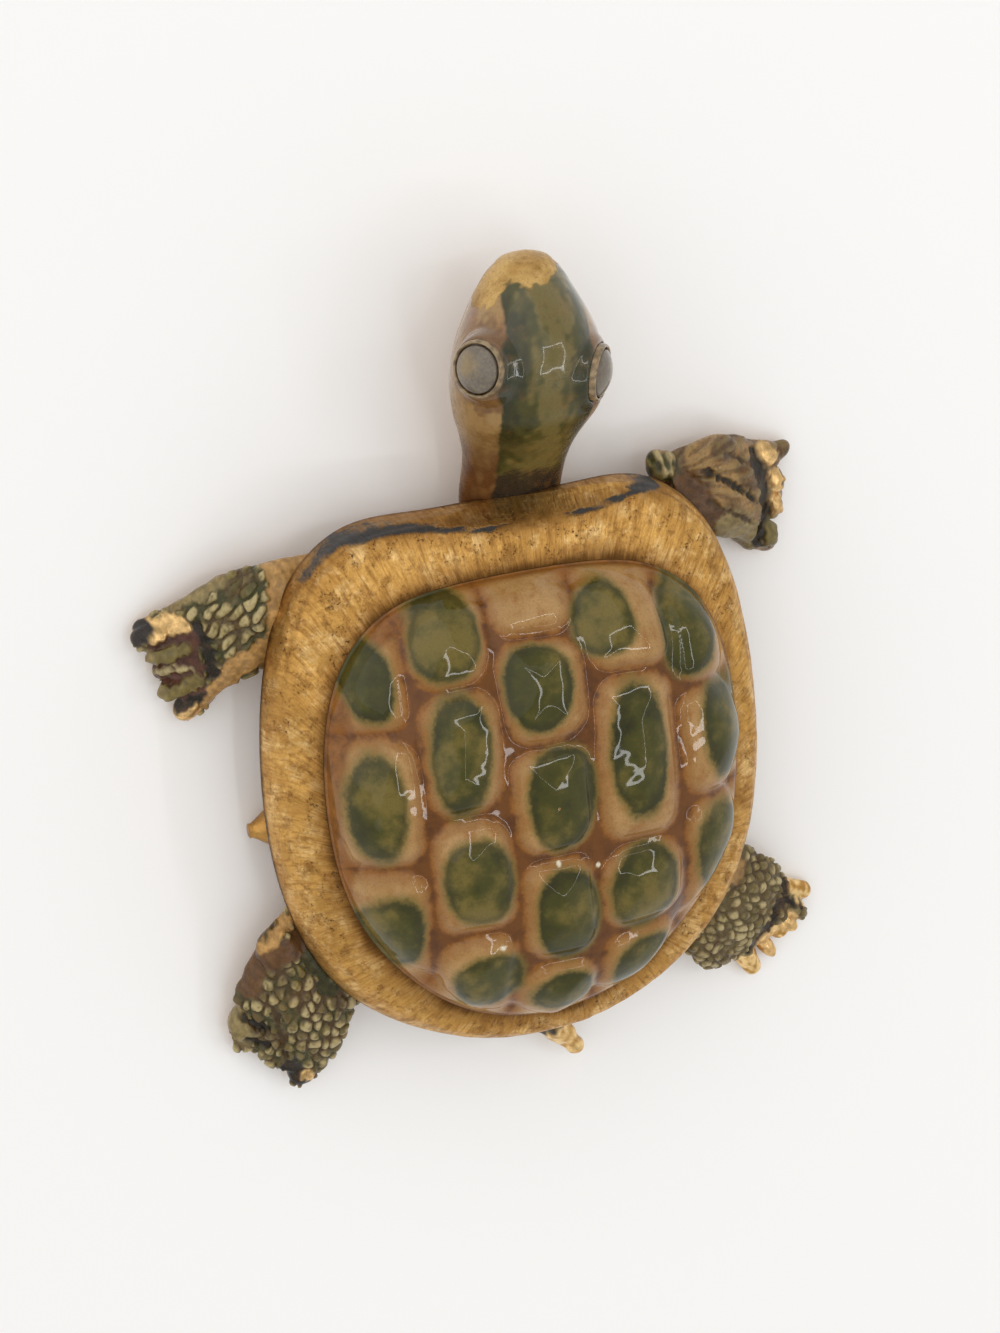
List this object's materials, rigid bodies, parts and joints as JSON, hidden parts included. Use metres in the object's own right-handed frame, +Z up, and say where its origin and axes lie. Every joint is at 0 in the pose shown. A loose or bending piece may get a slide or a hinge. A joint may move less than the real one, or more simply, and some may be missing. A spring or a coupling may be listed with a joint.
{
  "type": "turtle brooch",
  "caption": "Cast turtle brooch with an enamelled domed shell in a brushed gold frame, enamelled head and scaly legs, cabochon eyes and a pin-back.",
  "frame": {"origin": "on the resting plane under the middle of the brooch", "axes": "+Y towards the nose, +X to the turtle's right, +Z up out of the shell"},
  "size_m": [0.0425, 0.0531, 0.0124],
  "materials": {
    "enamelled_casting": "gilt casting under olive and brown enamel",
    "brushed_gold": "brushed",
    "shell_enamel": "glossy",
    "eye_stone": "polished",
    "pin_metal": "satin"
  },
  "bodies": {
    "root": {"body_casting": "enamelled_casting", "shell_rim": "brushed_gold", "enamel_dome": "shell_enamel", "eye_left": "eye_stone", "eye_right": "eye_stone", "pin_back": "pin_metal"}
  },
  "joints": []
}
